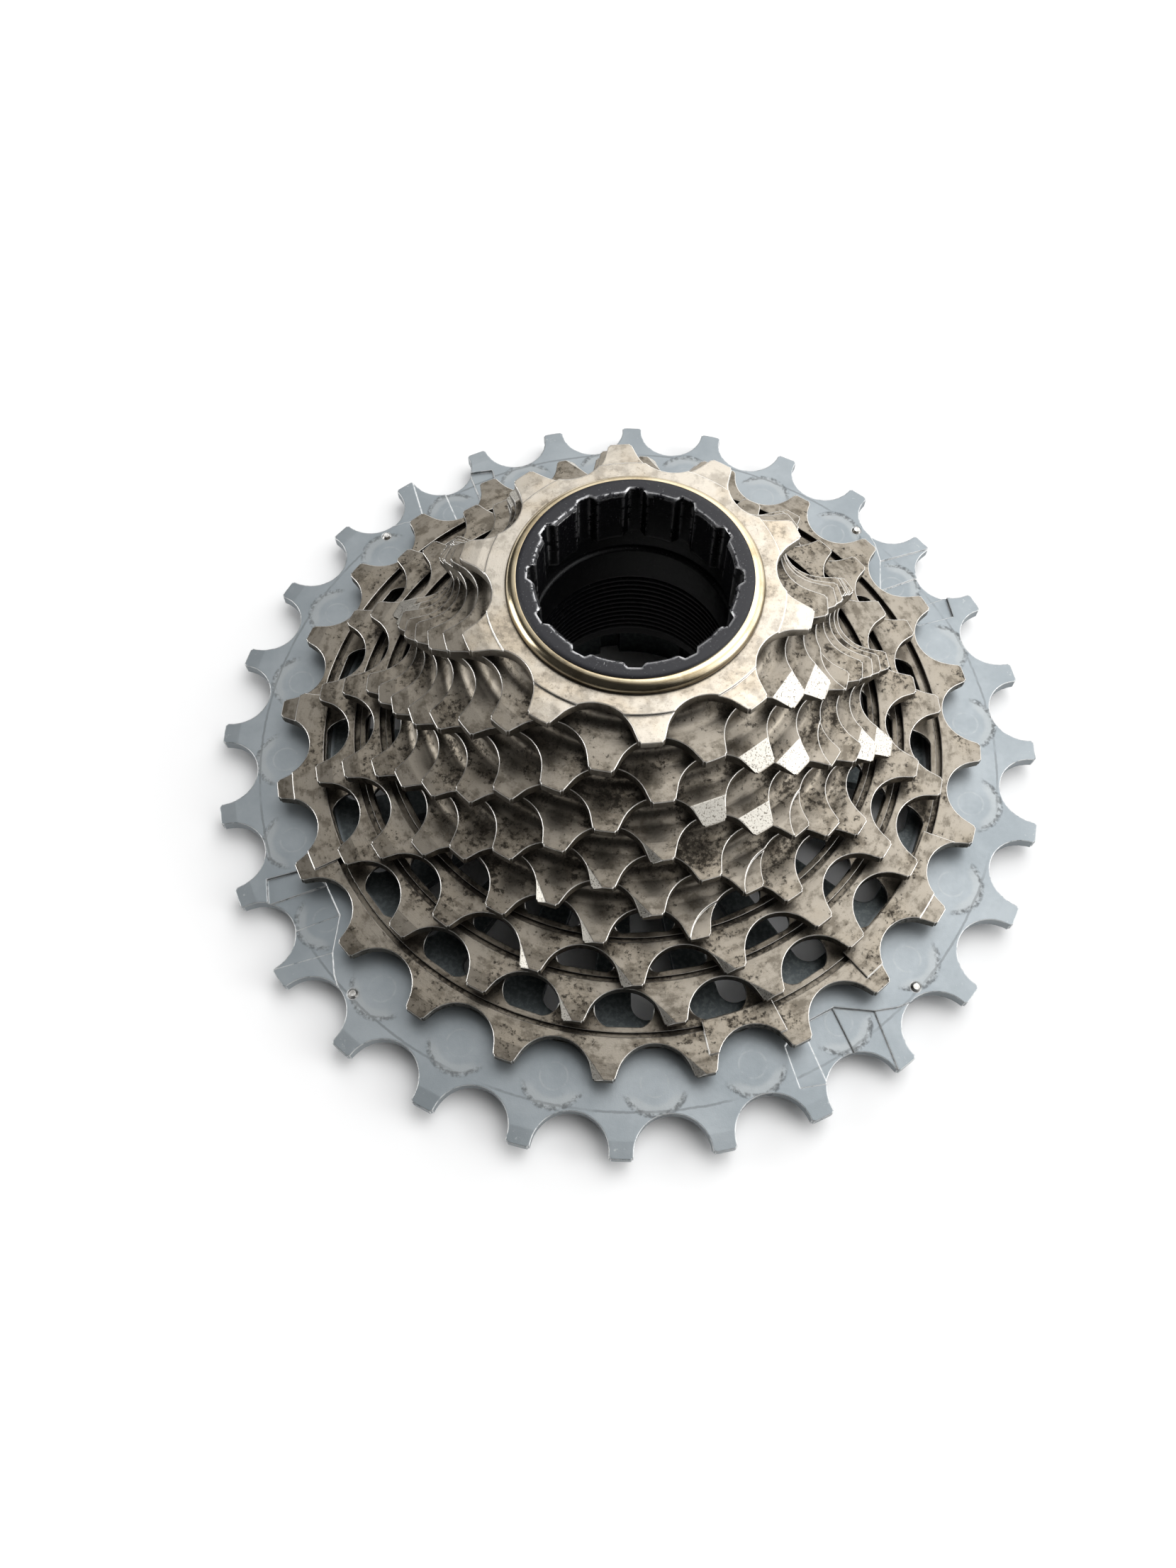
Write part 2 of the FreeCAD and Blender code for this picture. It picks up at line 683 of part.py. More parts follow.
def ring_of(label, shapes_at, count, start):
    """Identical small parts round the axle, kept in one node."""
    members = []
    for number in range(int(value(count))):
        azimuth = f"({start} + {number} * 360 / {count})"
        members.append(shapes_at(number, azimuth))
    group = doc.addObject("Part::Compound", label)
    group.Label = label
    group.Links = members
    return group


def stud(name, circle, azimuth, bottom, radius, length, head_radius, head_bottom, head_length):
    """Shank with a tapered head, fused into one solid."""
    shank = doc.addObject("Part::Cylinder", f"{name}_shank")
    shank.setExpression("Radius", radius)
    shank.setExpression("Height", length)
    head = doc.addObject("Part::Cone", f"{name}_head")
    head.setExpression("Radius1", head_radius[0])
    head.setExpression("Radius2", head_radius[1])
    head.setExpression("Height", head_length)
    for piece, height in ((shank, bottom), (head, head_bottom)):
        x, y = polar(circle, azimuth)
        piece.setExpression("Placement.Base.x", x)
        piece.setExpression("Placement.Base.y", y)
        piece.setExpression("Placement.Base.z", height)
    whole = doc.addObject("Part::Fuse", name)
    whole.Base = shank
    whole.Tool = head
    return whole


def cluster_rivets():
    """Rivets that hold the alloy sprocket to the steel cluster."""
    back = "(Sizes.base_front - Sizes.alloy_plate)"
    length = "(Sizes.alloy_plate + Sizes.rivet_end)"

    def one(number, azimuth):
        return stud(
            f"rivet_{number}", "Sizes.rivet_circle", azimuth, back, "Sizes.rivet_radius", length,
            ("Sizes.rivet_head - Sizes.rivet_head_taper", "Sizes.rivet_head"),
            f"{back} - Sizes.rivet_head_height", "Sizes.rivet_head_height",
        )

    return ring_of("cluster_rivets", one, "Sizes.rivet_count", "(Sizes.tip_azimuth_24 + 180 / 24)")


def shift_pins():
    """Small steel pins that lift the chain beside each ramp of the alloy sprocket."""
    back = "(Sizes.base_front - Sizes.alloy_plate)"

    def one(number, azimuth):
        return stud(
            f"shift_pin_{number}", "Sizes.shift_pin_circle", azimuth, back, "Sizes.shift_pin_radius",
            "Sizes.alloy_plate", ("Sizes.shift_pin_radius", "Sizes.shift_pin_radius * Sizes.pin_crown"),
            "Sizes.base_front", "Sizes.shift_pin_rise",
        )

    return ring_of("shift_pins", one, "Sizes.ramp_count", "Sizes.shift_pin_azimuth")


# ---- lock tube ----

def lock_tube():
    """Tube with an internal thread inboard and tool notches at its outboard mouth."""
    body = new_body("lock_tube")
    top = "Sizes.tube_top"
    land_end = f"({top} - Sizes.notch_length)"
    relief_end = f"({land_end} - Sizes.relief_length)"
    pilot_end = "(Sizes.tube_end + Sizes.pilot_length)"
    clip_top = f"({front_of(13)} - Sizes.plate - Sizes.clip_gap)"
    clip_bottom = f"({clip_top} - Sizes.clip_thick)"
    corners = [
        ("Sizes.tube_radius - Sizes.end_bevel", "Sizes.tube_end"),
        ("Sizes.tube_radius", "Sizes.tube_end + Sizes.end_bevel_rise"),
        ("Sizes.tube_radius", clip_bottom),
        ("Sizes.clip_groove", clip_bottom),
        ("Sizes.clip_groove", clip_top),
        ("Sizes.tube_radius", clip_top),
        ("Sizes.tube_radius", f"{top} - Sizes.flange_lip"),
        ("Sizes.flange_edge", f"{top} - Sizes.flange_lip"),
        ("Sizes.flange_edge", top),
        ("Sizes.land_radius + Sizes.mouth_bevel", top),
        ("Sizes.land_radius", f"{top} - Sizes.mouth_bevel"),
        ("Sizes.land_radius", land_end),
        ("Sizes.relief_radius", land_end),
        ("Sizes.relief_radius", relief_end),
        ("Sizes.thread_minor", relief_end),
        ("Sizes.thread_minor", f"{pilot_end} + Sizes.pilot_bevel"),
        ("Sizes.pilot_radius", pilot_end),
        ("Sizes.pilot_radius", "Sizes.tube_end"),
    ]
    revolve(body, "wall", corners)

    notch = new_sketch(body, "notch_plan", lift=top)
    outline(
        notch,
        [
            ("Sizes.land_radius - Sizes.notch_opening", "-Sizes.notch_mouth / 2 - Sizes.notch_flare"),
            ("Sizes.notch_radius", "-Sizes.notch_floor / 2"),
            ("Sizes.notch_radius", "Sizes.notch_floor / 2"),
            ("Sizes.land_radius - Sizes.notch_opening", "Sizes.notch_mouth / 2 + Sizes.notch_flare"),
        ],
    )
    cut(body, "notches", notch, "Sizes.notch_length", "Sizes.notch_count")

    profile = new_sketch(body, "thread_profile", "XZ_Plane")
    groove_low = f"({pilot_end} + Sizes.thread_lead)"
    open_radius = "Sizes.thread_minor - Sizes.thread_overlap"
    outline(
        profile,
        [
            (open_radius, f"{groove_low} - Sizes.thread_overlap"),
            ("Sizes.thread_minor + Sizes.thread_depth", f"{groove_low} + Sizes.thread_flank"),
            (open_radius, f"{groove_low} + Sizes.thread_width"),
        ],
    )
    groove = body.newObject("PartDesign::Groove", "thread_groove")
    groove.Profile = profile
    groove.ReferenceAxis = (profile, ["V_Axis"])
    groove.Angle = 360
    doc.recompute()
    thread = body.newObject("PartDesign::LinearPattern", "thread_grooves")
    thread.Originals = [groove]
    thread.Direction = (origin_feature(body, "Z_Axis"), [""])
    thread.setExpression("Length", "Sizes.thread_pitch * (Sizes.thread_count - 1)")
    thread.setExpression("Occurrences", "Sizes.thread_count")
    body.Tip = thread
    place(body, "0", "Sizes.notch_azimuth")
    return body


def flange_collar():
    """Polished ring pressed on the tube, which draws the cluster home."""
    body = new_body("flange_collar")
    seat = f"({front_of(10)} + Sizes.collar_gap)"
    crown = "(Sizes.tube_top - Sizes.flange_lip)"
    corners = [
        ("Sizes.tube_radius", seat),
        ("Sizes.collar_radius", seat),
        ("Sizes.collar_radius", f"{seat} + Sizes.collar_foot"),
        ("Sizes.collar_crown", crown),
        ("Sizes.tube_radius", crown),
    ]
    revolve(body, "ring", corners, {2: ("Sizes.collar_round", 1)})
    place(body, "0")
    return body


def retaining_clip():
    """Open spring ring in the tube's groove, which keeps the tube in the cluster."""
    body = new_body("retaining_clip")
    top = f"({front_of(13)} - Sizes.plate - Sizes.clip_gap)"
    corners = [
        ("Sizes.clip_groove", f"{top} - Sizes.clip_thick"),
        ("Sizes.clip_radius", f"{top} - Sizes.clip_thick"),
        ("Sizes.clip_radius", top),
        ("Sizes.clip_groove", top),
    ]
    turned = revolve(body, "ring", corners)
    turned.setExpression("Angle", "360 - Sizes.clip_opening")
    place(body, "0", "200")
    return body


def barrel_bore(teeth):
    """The four smallest sprockets guide the tube; the others leave the dome hollow."""
    if teeth <= 13:
        return "Sizes.guide_bore"
    return f"({root_radius(teeth - 1)} - Sizes.barrel_wall)"


nodes = [alloy_sprocket(), ring_sprocket(24, with_spacer=True)]
nodes += [ring_sprocket(teeth) for teeth in (21, 19)]
nodes += [window_web(small, large) for small, large in ((21, 24), (19, 21), (17, 19))]
nodes += [barrel_sprocket(teeth, barrel_bore(teeth)) for teeth in range(17, 9, -1)]
nodes += [cluster_rivets(), shift_pins(), lock_tube(), flange_collar(), retaining_clip()]
doc.recompute()

for item in doc.Objects:
    if "Invalid" in item.State or "Error" in item.State:
        raise RuntimeError(f"{item.Label} failed to build: {item.State}")

os.makedirs("parts", exist_ok=True)
for node in nodes:
    shape = node.Shape
    if shape.isNull() or not shape.isValid():
        raise RuntimeError(f"{node.Label} has no valid shape")
    shape.exportStep(os.path.join("parts", f"{node.Label}.step"))
    print(node.Label, len(shape.Solids), round(shape.Volume, 1))
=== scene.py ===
import math
import bpy
from mathutils import Matrix, Vector

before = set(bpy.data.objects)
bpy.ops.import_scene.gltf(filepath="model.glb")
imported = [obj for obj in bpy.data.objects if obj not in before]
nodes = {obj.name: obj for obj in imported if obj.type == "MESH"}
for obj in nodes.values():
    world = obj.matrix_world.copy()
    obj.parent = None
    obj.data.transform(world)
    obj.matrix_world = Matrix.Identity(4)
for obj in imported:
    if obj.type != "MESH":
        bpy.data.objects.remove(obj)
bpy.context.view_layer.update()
print("frame loaded:", len(nodes), "nodes")

steelNodes = [name for name in nodes if name.startswith("web_") or
              (name.startswith("sprocket_") and name != "sprocket_28t")]

# ---- shader building blocks ----

class Graph:
    # one material's node tree; every helper returns an output socket
    def __init__(self, name):
        self.material = bpy.data.materials.new(name)
        self.material.use_nodes = True
        self.tree = self.material.node_tree
        self.bsdf = self.tree.nodes["Principled BSDF"]
        self.place = self.tree.nodes.new("ShaderNodeTexCoord").outputs["Object"]

    def node(self, kind, **sockets):
        made = self.tree.nodes.new("ShaderNode" + kind)
        for key, given in sockets.items():
            self.feed(made.inputs[key.replace("_", " ")], given)
        return made

    def feed(self, socket, given):
        if isinstance(given, bpy.types.NodeSocket):
            self.tree.links.new(given, socket)
        else:
            socket.default_value = given

    def finish(self, **sockets):
        for key, given in sockets.items():
            self.feed(self.bsdf.inputs[key.replace("_", " ")], given)
        return self.material

    def math(self, operation, *given):
        made = self.tree.nodes.new("ShaderNodeMath")
        made.operation = operation
        for socket, one in zip(made.inputs, given):
            self.feed(socket, one)
        return made.outputs[0]

    def times(self, *given):
        total = given[0]
        for one in given[1:]:
            total = self.math("MULTIPLY", total, one)
        return total

    def plus(self, *given):
        total = given[0]
        for one in given[1:]:
            total = self.math("ADD", total, one)
        return total

    def less(self, first, second):
        return self.math("SUBTRACT", first, second)

    def noise(self, scale, detail=4.0, rough=0.6, where=None):
        made = self.node("TexNoise", Vector=where or self.place, Scale=scale, Detail=detail,
                         Roughness=rough)
        return made.outputs["Fac"]

    def ramp(self, given, low, high):
        # smooth 0..1 between low and high, which may fall instead of rise
        if low > high:
            return self.less(1.0, self.ramp(given, high, low))
        made = self.node("MapRange", Value=given, From_Min=low, From_Max=high)
        made.interpolation_type = "SMOOTHSTEP"
        return made.outputs["Result"]

    def scaled(self, given, low, high):
        return self.node("MapRange", Value=given, To_Min=low, To_Max=high).outputs["Result"]

    def band(self, given, middle, half):
        # 1 at middle, falling to 0 at half away from it
        return self.ramp(self.math("ABSOLUTE", self.less(given, middle)), half, half * 0.35)

    def mix(self, amount, first, second):
        made = self.tree.nodes.new("ShaderNodeMix")
        made.data_type = "RGBA"
        self.feed(made.inputs[0], amount)
        self.feed(made.inputs[6], first)
        self.feed(made.inputs[7], second)
        return made.outputs[2]

    def polar(self):
        # distance from the axle, angle round it in radians, and height
        x, y, z = self.node("SeparateXYZ", Vector=self.place).outputs
        radius = self.math("SQRT", self.plus(self.times(x, x), self.times(y, y)))
        return radius, self.math("ARCTAN2", y, x), z

    def along(self, *parts):
        return self.node("CombineXYZ", X=parts[0], Y=parts[1], Z=parts[2]).outputs[0]

    def rounded(self, width):
        # normal that rolls over an edge, and a 0..1 mask of where it does
        bevel = self.node("Bevel", Radius=width)
        bevel.samples = 6
        turn = self.tree.nodes.new("ShaderNodeVectorMath")
        turn.operation = "DOT_PRODUCT"
        self.feed(turn.inputs[0], bevel.outputs["Normal"])
        self.feed(turn.inputs[1], self.node("NewGeometry").outputs["Normal"])
        return bevel.outputs["Normal"], self.ramp(self.less(1.0, turn.outputs["Value"]), 0.015, 0.14)

    def hollow(self, distance):
        made = self.node("AmbientOcclusion", Distance=distance)
        made.samples = 6
        return self.less(1.0, made.outputs["AO"])

    def bump(self, height, strength, distance, normal=None):
        made = self.node("Bump", Height=height, Strength=strength, Distance=distance)
        if normal is not None:
            self.feed(made.inputs["Normal"], normal)
        return made.outputs["Normal"]


def colour(red, green, blue):
    return (red, green, blue, 1.0)


# ---- nickel-plated steel of the small sprockets and webs ----

nickel = {
    "clean": colour(0.47, 0.430, 0.370),
    "tint": colour(0.37, 0.305, 0.220),
    # dark tone that paints shade onto the faces below the top one
    "wearAndShade": colour(0.150, 0.133, 0.108),
    "ground": colour(0.58, 0.555, 0.50),
    # dark dirt tone, also used to paint shade into recesses
    "smudgeAndShade": colour(0.066, 0.055, 0.041),
    # near-black dirt tone, also used to paint shade into the deepest recesses
    "grimeAndShade": colour(0.020, 0.017, 0.014),
    # painted highlight colour for convex edges
    "edge": colour(0.98, 0.96, 0.92),
    "edgeWidth": 0.00024,
    "firstFace": 0.0034,
    "spacing": 0.00355,
    "plateFoot": 0.549,
    "sprocketShade": (0.18, 0.80),
    "webShade": (0.05, 0.48),
    "hollowReach": 0.0055,
    "lowFade": (0.0423, 0.0405),
    "cloudScale": 130.0,
    "patchScale": 420.0,
    "fleckScale": 1500.0,
    "speckScale": 5200.0,
    "rough": (0.25, 0.43),
}


def nickelSteel(name, groundTeeth, shade):
    g = Graph(name)
    radius, angle, height = g.polar()
    # 0 on every tooth face, rising to 1 at the next one; plates and spacers meet at plateFoot
    level = g.math("FRACT", g.math("DIVIDE", g.less(height, nickel["firstFace"]), nickel["spacing"]))
    joint = g.band(level, nickel["plateFoot"], 0.40)
    roll, edge = g.rounded(g.times(g.less(1.0, joint), nickel["edgeWidth"]))
    hollow = g.hollow(nickel["hollowReach"])
    low = g.ramp(height, *nickel["lowFade"])
    # facets ground on single teeth: tilted, and high on the plate
    lean = g.node("SeparateXYZ", Vector=g.node("NewGeometry").outputs["True Normal"]).outputs["Z"]
    facet = g.times(g.ramp(lean, 0.35, 0.50), g.ramp(lean, 0.975, 0.955),
                    g.ramp(level, 0.61, 0.66), groundTeeth)
    cloud = g.noise(nickel["cloudScale"], 4.0, 0.6)
    patch = g.noise(nickel["patchScale"], 6.0, 0.68)
    fleck = g.noise(nickel["fleckScale"], 5.0, 0.75)
    speck = g.noise(nickel["speckScale"], 2.0, 0.5)
    # chain oil wiped round the teeth: arcs that run with the turning direction
    wiped = g.noise(1.0, 5.0, 0.7, g.along(g.times(radius, 900.0), g.times(angle, 11.0),
                                           g.times(height, 130.0)))
    offEdge = g.less(1.0, edge)
    # painted highlight: convex edges outside deep recesses are brightened toward a near-white
    edgeHighlight = g.times(edge, g.ramp(hollow, 0.80, 0.40))
    base = g.mix(g.times(g.ramp(cloud, 0.40, 0.66), 0.65), nickel["clean"], nickel["tint"])
    # painted shade: every face below the top face of the smallest sprocket is darkened toward this dark
    # tone, standing in for the dark reflections on the lower faces
    base = g.mix(g.times(low, 0.80), base, nickel["wearAndShade"])
    smear = g.times(g.ramp(g.plus(g.times(patch, 0.65), g.times(wiped, 0.37)), 0.47, 0.61),
                    g.scaled(low, 0.35, 0.70), offEdge)
    base = g.mix(smear, base, nickel["smudgeAndShade"])
    # painted shade: darker in recesses, driven by ambient occlusion
    base = g.mix(g.times(g.ramp(hollow, *shade), 0.86), base, nickel["smudgeAndShade"])
    # painted shade: the deepest recesses go almost black
    base = g.mix(g.times(g.ramp(hollow, 0.55, 1.0), 0.70), base, nickel["grimeAndShade"])
    caked = g.plus(g.times(fleck, 0.55), g.times(cloud, 0.35), g.times(wiped, 0.14),
                   g.times(hollow, 0.10))
    dirt = g.times(g.ramp(caked, 0.560, 0.630), g.scaled(low, 0.30, 0.85), offEdge)
    base = g.mix(dirt, base, nickel["grimeAndShade"])
    base = g.mix(g.times(g.ramp(speck, 0.66, 0.72), 0.35), base, nickel["grimeAndShade"])
    base = g.mix(g.times(facet, g.ramp(speck, 0.28, 0.50)), base, nickel["ground"])
    base = g.mix(g.times(edgeHighlight, 0.95), base, nickel["edge"])
    rough = g.plus(g.scaled(patch, *nickel["rough"]), g.times(dirt, 0.2), g.times(facet, 0.06))
    turned = g.noise(1.0, 2.0, 0.5, g.along(g.times(radius, 9000.0), 0.0, g.times(height, 2500.0)))
    normal = g.bump(turned, 0.08, 0.00010, roll)
    normal = g.bump(fleck, 0.25, 0.00008, normal)
    return g.finish(Base_Color=base, Roughness=rough, Metallic=1.0,
                    Normal=g.bump(speck, 0.12, 0.00004, normal))


# ---- anodised alloy of the largest sprocket ----

alloy = {
    "clean": colour(0.225, 0.252, 0.268),
    "pale": colour(0.295, 0.322, 0.338),
    "scuff": colour(0.36, 0.375, 0.375),
    "grimeAndShade": colour(0.030, 0.030, 0.030),
    "bare": colour(0.90, 0.90, 0.89),
    "edgeWidth": 0.00030,
    "linkCircle": 0.04865,
    "linkStart": math.radians(17.5),
    "linkStep": math.radians(15.0),
    "linkRadius": 0.00405,
    "pinRadius": 0.00175,
    "rubCircle": 0.0522,
    "spiderEdge": 0.0423,
    # painted shade colours for the spider seen through the windows
    "spider": colour(0.035, 0.045, 0.045),
    "spiderPale": colour(0.10, 0.115, 0.115),
    "cloudScale": 70.0,
    "raggedScale": 700.0,
    "fineScale": 1700.0,
    "speckScale": 6000.0,
    "rough": (0.38, 0.54),
}


def anodisedAlloy():
    g = Graph("anodisedAlloy")
    radius, angle, _ = g.polar()
    roll, edge = g.rounded(alloy["edgeWidth"])
    cloud = g.noise(alloy["cloudScale"], 5.0, 0.6)
    ragged = g.noise(alloy["raggedScale"], 5.0, 0.75)
    fine = g.noise(alloy["fineScale"], 4.0, 0.7)
    speck = g.noise(alloy["speckScale"], 2.0, 0.5)
    # the chain on the next sprocket rubs a ring of link shapes into this face:
    # distance to the nearest link end by the cosine rule
    halfStep = alloy["linkStep"] / 2
    turn = g.math("WRAP", g.less(angle, alloy["linkStart"]), halfStep, -halfStep)
    link = alloy["linkCircle"]
    far = g.less(g.plus(g.times(radius, radius), link * link),
                 g.times(radius, 2 * link, g.math("COSINE", turn)))
    reach = g.math("SQRT", g.math("MAXIMUM", far, 0.0))
    outer = g.ramp(radius, 0.0497, 0.0510)
    wander = g.times(g.less(ragged, 0.5), 0.0004)
    scuffed = g.times(g.band(g.plus(reach, wander), alloy["linkRadius"] - 0.0006, 0.0010), outer)
    crescent = g.times(g.band(g.plus(reach, wander), alloy["linkRadius"], 0.00050), outer,
                       g.ramp(fine, 0.38, 0.62))
    rub = g.times(g.band(g.plus(radius, wander), alloy["rubCircle"], 0.00022),
                  g.ramp(cloud, 0.42, 0.56))
    pin = g.times(g.band(reach, alloy["pinRadius"], 0.00018), g.ramp(ragged, 0.40, 0.60))
    lit = g.ramp(fine, 0.60, 0.72)
    base = g.mix(g.ramp(cloud, 0.35, 0.7), alloy["clean"], alloy["pale"])
    base = g.mix(g.times(scuffed, 0.45), base, alloy["scuff"])
    base = g.mix(g.times(pin, 0.35), base, alloy["scuff"])
    rubbed = g.math("MAXIMUM", crescent, g.times(rub, 0.8))
    base = g.mix(g.times(rubbed, 0.45), base, alloy["grimeAndShade"])
    base = g.mix(g.times(lit, g.ramp(radius, 0.0545, 0.0572), 0.20), base, alloy["bare"])
    wearAndShade = g.times(edge, g.ramp(g.plus(ragged, g.times(fine, 0.5)), 0.56, 0.76))
    base = g.mix(g.times(wearAndShade, 0.9), base, alloy["bare"])
    # the spider inside the windows gets painted shade: a very dark colour, made grainy with noise
    inside = g.ramp(radius, alloy["spiderEdge"], alloy["spiderEdge"] - 0.0006)
    spiderShade = g.mix(g.ramp(fine, 0.45, 0.6), alloy["spider"], alloy["spiderPale"])
    base = g.mix(g.times(inside, 0.80), base, spiderShade)
    rough = g.plus(g.scaled(fine, *alloy["rough"]), g.times(crescent, 0.2))
    normal = g.bump(ragged, 0.10, 0.00008, roll)
    return g.finish(Base_Color=base, Roughness=rough, Metallic=0.72,
                    Normal=g.bump(speck, 0.16, 0.00005, normal))


# ---- black anodised lock tube ----

tube = {
    "black": colour(0.005, 0.005, 0.006),
    "face": colour(0.014, 0.014, 0.018),
    "bare": colour(0.86, 0.86, 0.87),
    "edgeWidth": 0.00060,
    "shine": 0.28,
    "top": 0.0438,
    "mouth": (0.0350, 0.0420),
    "chipScale": 1500.0,
    "speckScale": 4200.0,
    "rough": (0.14, 0.32),
}


def blackAnodised():
    g = Graph("blackAnodised")
    radius, angle, height = g.polar()
    roll, edge = g.rounded(tube["edgeWidth"])
    chip = g.noise(tube["chipScale"], 4.0, 0.62)
    speck = g.noise(tube["speckScale"], 3.0, 0.6)
    # scratches where the tool slid in: noise drawn out along the axle
    drawn = g.noise(1.0, 4.0, 0.7, g.along(g.times(angle, 90.0), g.times(radius, 1500.0),
                                           g.times(height, 260.0)))
    mouth = g.ramp(height, *tube["mouth"])
    wearAndShade = g.times(edge, g.ramp(chip, 0.42, 0.48), mouth, g.ramp(radius, 0.01270, 0.01245))
    scratch = g.times(g.ramp(drawn, 0.66, 0.72), mouth, g.ramp(radius, 0.01262, 0.01245), 0.6)
    face = g.ramp(height, tube["top"] - 0.0002, tube["top"])
    bare = g.math("MAXIMUM", wearAndShade, scratch)
    base = g.mix(face, tube["black"], tube["face"])
    base = g.mix(g.times(g.ramp(speck, 0.62, 0.74), 0.10), base, tube["bare"])
    base = g.mix(bare, base, tube["bare"])
    rough = g.plus(g.scaled(chip, *tube["rough"]), g.times(face, 0.14))
    normal = g.bump(drawn, 0.10, 0.00006, roll)
    return g.finish(Base_Color=base, Roughness=rough, Metallic=bare,
                    Specular_IOR_Level=tube["shine"],
                    Normal=g.bump(speck, 0.08, 0.00004, normal))


# ---- pale gold flange ring ----

ring = {
    "gold": colour(0.70, 0.60, 0.42),
    "deep": colour(0.27, 0.195, 0.095),
    "grimeAndShade": colour(0.05, 0.035, 0.02),
    "outside": 0.01490,
    "edgeWidth": 0.00012,
    "cloudScale": 260.0,
}


def paleGold():
    g = Graph("paleGold")
    radius, _, height = g.polar()
    roll, _ = g.rounded(ring["edgeWidth"])
    lines = g.noise(1.0, 3.0, 0.6, g.along(g.times(radius, 7000.0), 0.0, g.times(height, 5000.0)))
    cloud = g.noise(ring["cloudScale"], 4.0, 0.6)
    foot = g.ramp(radius, ring["outside"] - 0.00030, ring["outside"] - 0.00008)
    base = g.mix(g.times(g.ramp(cloud, 0.42, 0.70), 0.6), ring["gold"], ring["deep"])
    base = g.mix(g.times(g.ramp(lines, 0.48, 0.62), 0.60), base, ring["deep"])
    base = g.mix(g.times(foot, 0.75), base, ring["grimeAndShade"])
    return g.finish(Base_Color=base, Metallic=1.0, Roughness=g.scaled(lines, 0.10, 0.26),
                    Normal=g.bump(lines, 0.16, 0.00008, roll))


# ---- small steel parts ----

small = {"edgeWidth": 0.00010, "fineScale": 1500.0}
pins = {
    "light": colour(0.72, 0.71, 0.69),
    "dark": colour(0.30, 0.29, 0.27),
    "rough": (0.22, 0.40),
}
rivets = {
    "light": colour(0.60, 0.59, 0.57),
    "dark": colour(0.22, 0.21, 0.19),
    "rough": (0.30, 0.50),
}
clip = {
    "light": colour(0.30, 0.30, 0.31),
    "dark": colour(0.06, 0.06, 0.065),
    "rough": (0.30, 0.50),
}


def smallSteel(name, finish):
    g = Graph(name)
    roll, edge = g.rounded(small["edgeWidth"])
    fine = g.noise(small["fineScale"], 4.0, 0.65)
    base = g.mix(g.ramp(fine, 0.40, 0.66), finish["light"], finish["dark"])
    # painted highlight: edges lightened toward the light tone
    base = g.mix(g.times(edge, 0.5), base, finish["light"])
    return g.finish(Base_Color=base, Metallic=1.0, Roughness=g.scaled(fine, *finish["rough"]),
                    Normal=g.bump(fine, 0.12, 0.00005, roll))


def dress(name, material):
    nodes[name].data.materials.clear()
    nodes[name].data.materials.append(material)


steel = nickelSteel("nickelSteel", 1.0, nickel["sprocketShade"])
webSteel = nickelSteel("webSteel", 0.0, nickel["webShade"])
for name in steelNodes:
    dress(name, webSteel if name.startswith("web_") else steel)
dress("sprocket_28t", anodisedAlloy())
dress("lock_tube", blackAnodised())
dress("flange_collar", paleGold())
dress("shift_pins", smallSteel("pinSteel", pins))
dress("cluster_rivets", smallSteel("rivetSteel", rivets))
dress("retaining_clip", smallSteel("clipSteel", clip))
print("finishes done")

# ---- floor, light and camera ----

studio = {
    "floorSize": 4.0,
    "floorColour": colour(0.93, 0.93, 0.93),
    "bright": 2.05,
    "dim": 0.03,
    "fade": (0.35, 1.50),
    "above": 0.80,
    "behind": 0.80,
    "rightward": 1.05,
    "eitherSide": 0.40,
    "backdrop": 0.94,
    "aim": Vector((0.0, 0.0, 0.02)),
    "lamps": {
        # place, size, power: soft from above and behind, then a low one each side
        "overhead": ((0.22, 0.22, 0.66), 0.5, 1.2),
        "rightSide": ((0.52, -0.10, 0.26), 0.20, 0.55),
        "leftSide": ((-0.54, 0.06, 0.18), 0.30, 1.30),
    },
}


def pourFloor():
    half = studio["floorSize"] / 2
    mesh = bpy.data.meshes.new("floor")
    corners = [(-half, -half, 0.0), (half, -half, 0.0), (half, half, 0.0), (-half, half, 0.0)]
    mesh.from_pydata(corners, [], [(0, 1, 2, 3)])
    floor = bpy.data.objects.new("floor", mesh)
    bpy.context.scene.collection.objects.link(floor)
    g = Graph("floorPaper")
    mesh.materials.append(g.finish(Base_Color=studio["floorColour"], Roughness=0.85))


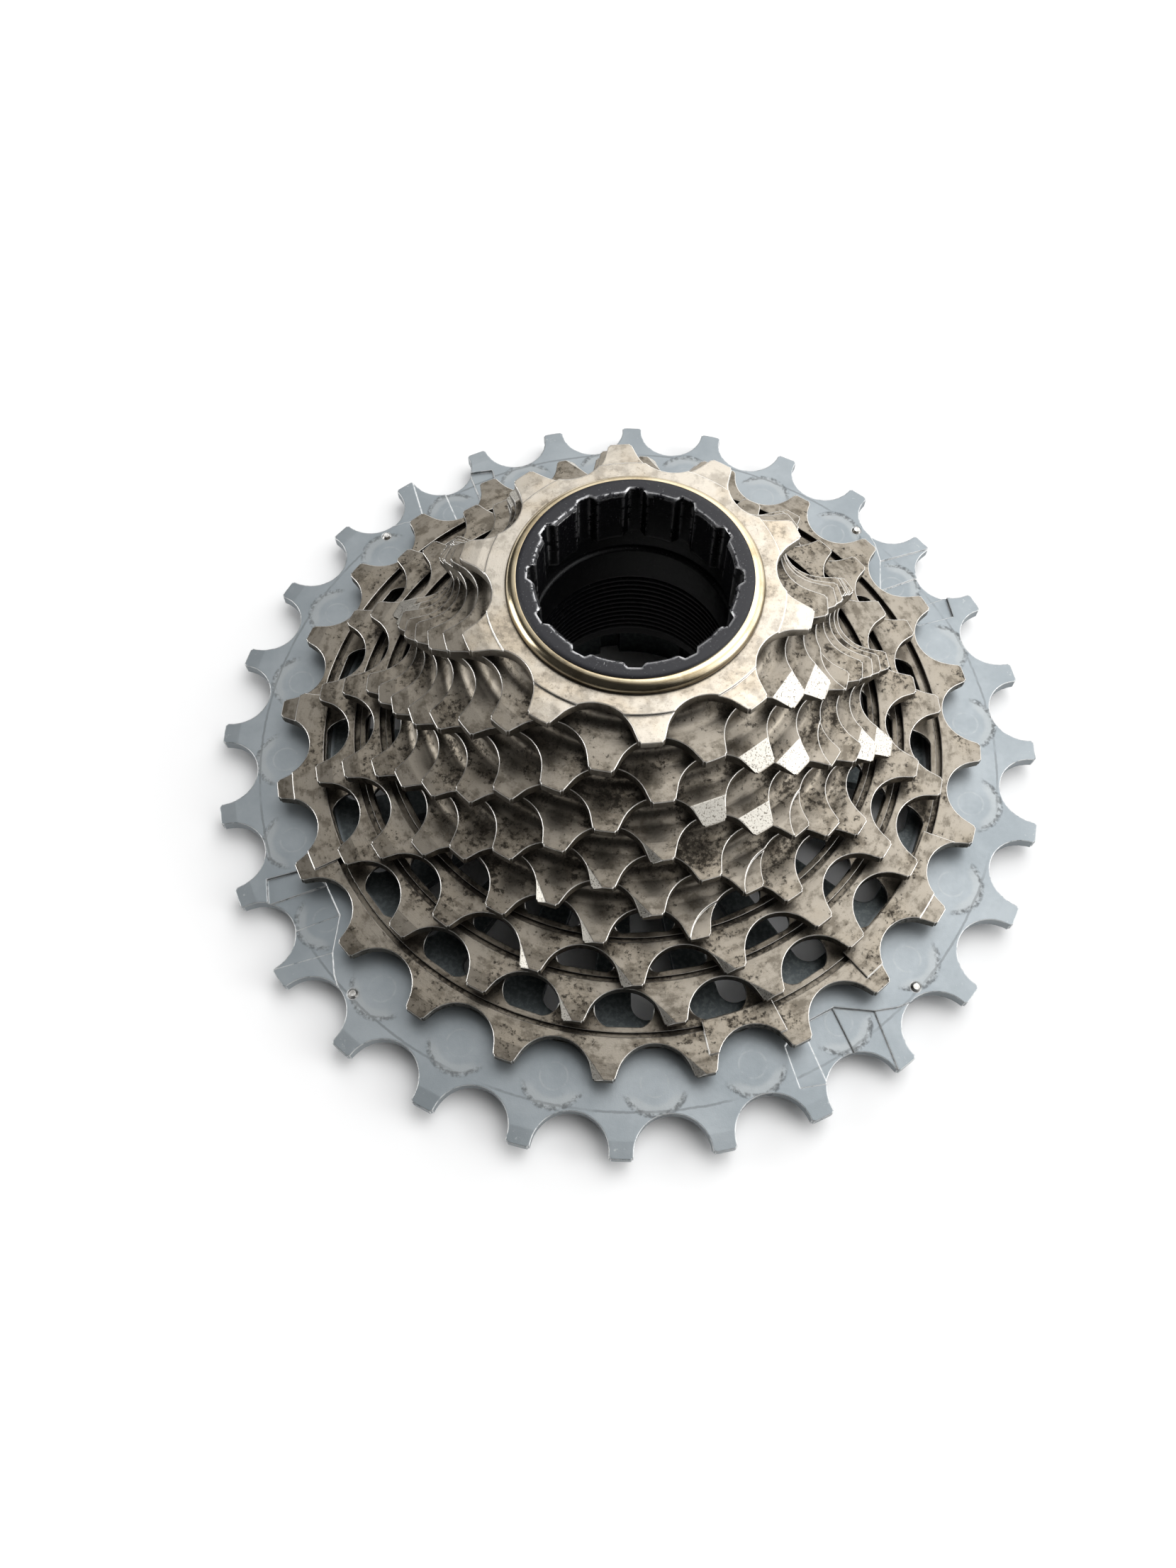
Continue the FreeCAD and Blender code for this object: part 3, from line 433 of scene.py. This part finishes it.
def lightRoom():
    for name, (place, size, power) in studio["lamps"].items():
        data = bpy.data.lights.new(name, "AREA")
        data.size = size
        data.energy = power
        lamp = bpy.data.objects.new(name, data)
        lamp.location = place
        lamp.rotation_euler = (studio["aim"] - Vector(place)).to_track_quat("-Z", "Y").to_euler()
        bpy.context.scene.collection.objects.link(lamp)
    # pale room, brightest above, behind and to the right, and dim in front and at the left
    world = bpy.data.worlds.new("studioRoom")
    world.use_nodes = True
    tree = world.node_tree
    way = tree.nodes.new("ShaderNodeTexCoord").outputs["Generated"]
    x, y, z = splitWay(tree, way)
    lift = combine(tree, "ADD", combine(tree, "MULTIPLY", z, studio["above"]),
                   combine(tree, "MULTIPLY", y, studio["behind"]))
    aside = combine(tree, "MULTIPLY", x, studio["rightward"])
    wide = combine(tree, "MULTIPLY", combine(tree, "ABSOLUTE", x, 0.0), studio["eitherSide"])
    spread = tree.nodes.new("ShaderNodeMapRange")
    spread.interpolation_type = "SMOOTHSTEP"
    spread.inputs["From Min"].default_value = studio["fade"][0]
    spread.inputs["From Max"].default_value = studio["fade"][1]
    spread.inputs["To Min"].default_value = studio["dim"]
    spread.inputs["To Max"].default_value = studio["bright"]
    tree.links.new(combine(tree, "ADD", combine(tree, "ADD", lift, aside), wide), spread.inputs["Value"])
    # seen directly, the room is a plain pale backdrop
    seen = tree.nodes.new("ShaderNodeMix")
    tree.links.new(tree.nodes.new("ShaderNodeLightPath").outputs["Is Camera Ray"], seen.inputs["Factor"])
    tree.links.new(spread.outputs["Result"], seen.inputs["A"])
    seen.inputs["B"].default_value = studio["backdrop"]
    tree.links.new(seen.outputs["Result"], tree.nodes["Background"].inputs["Strength"])
    tree.nodes["Background"].inputs["Color"].default_value = (1.0, 1.0, 1.0, 1.0)
    bpy.context.scene.world = world


def splitWay(tree, way):
    split = tree.nodes.new("ShaderNodeSeparateXYZ")
    tree.links.new(way, split.inputs[0])
    return split.outputs


def combine(tree, operation, first, second):
    made = tree.nodes.new("ShaderNodeMath")
    made.operation = operation
    tree.links.new(first, made.inputs[0])
    if isinstance(second, bpy.types.NodeSocket):
        tree.links.new(second, made.inputs[1])
    else:
        made.inputs[1].default_value = second
    return made.outputs[0]


view = {
    "elevation": math.radians(64.147),
    "roll": math.radians(-0.793),
    "distance": 0.157716,
    "target": Vector((-0.005702, -0.013576, 0.0176)),
    "lens": 28.35,
    "sensor": 36.0,
    "nearest": 0.005,
}


def aimCamera():
    back = Vector((0.0, -math.cos(view["elevation"]), math.sin(view["elevation"])))
    right = Vector((1.0, 0.0, 0.0))
    up = back.cross(right)
    turn = math.cos(view["roll"]), math.sin(view["roll"])
    tiltedRight = right * turn[0] + up * turn[1]
    tiltedUp = up * turn[0] - right * turn[1]
    data = bpy.data.cameras.new("camera")
    data.lens = view["lens"]
    data.sensor_width = view["sensor"]
    data.clip_start = view["nearest"]
    camera = bpy.data.objects.new("camera", data)
    axes = Matrix((tiltedRight, tiltedUp, back)).transposed()
    camera.matrix_world = Matrix.Translation(view["target"] + back * view["distance"]) @ axes.to_4x4()
    bpy.context.scene.collection.objects.link(camera)
    bpy.context.scene.camera = camera


pourFloor()
lightRoom()
aimCamera()
bpy.context.scene.view_settings.view_transform = "Standard"
print("studio done")
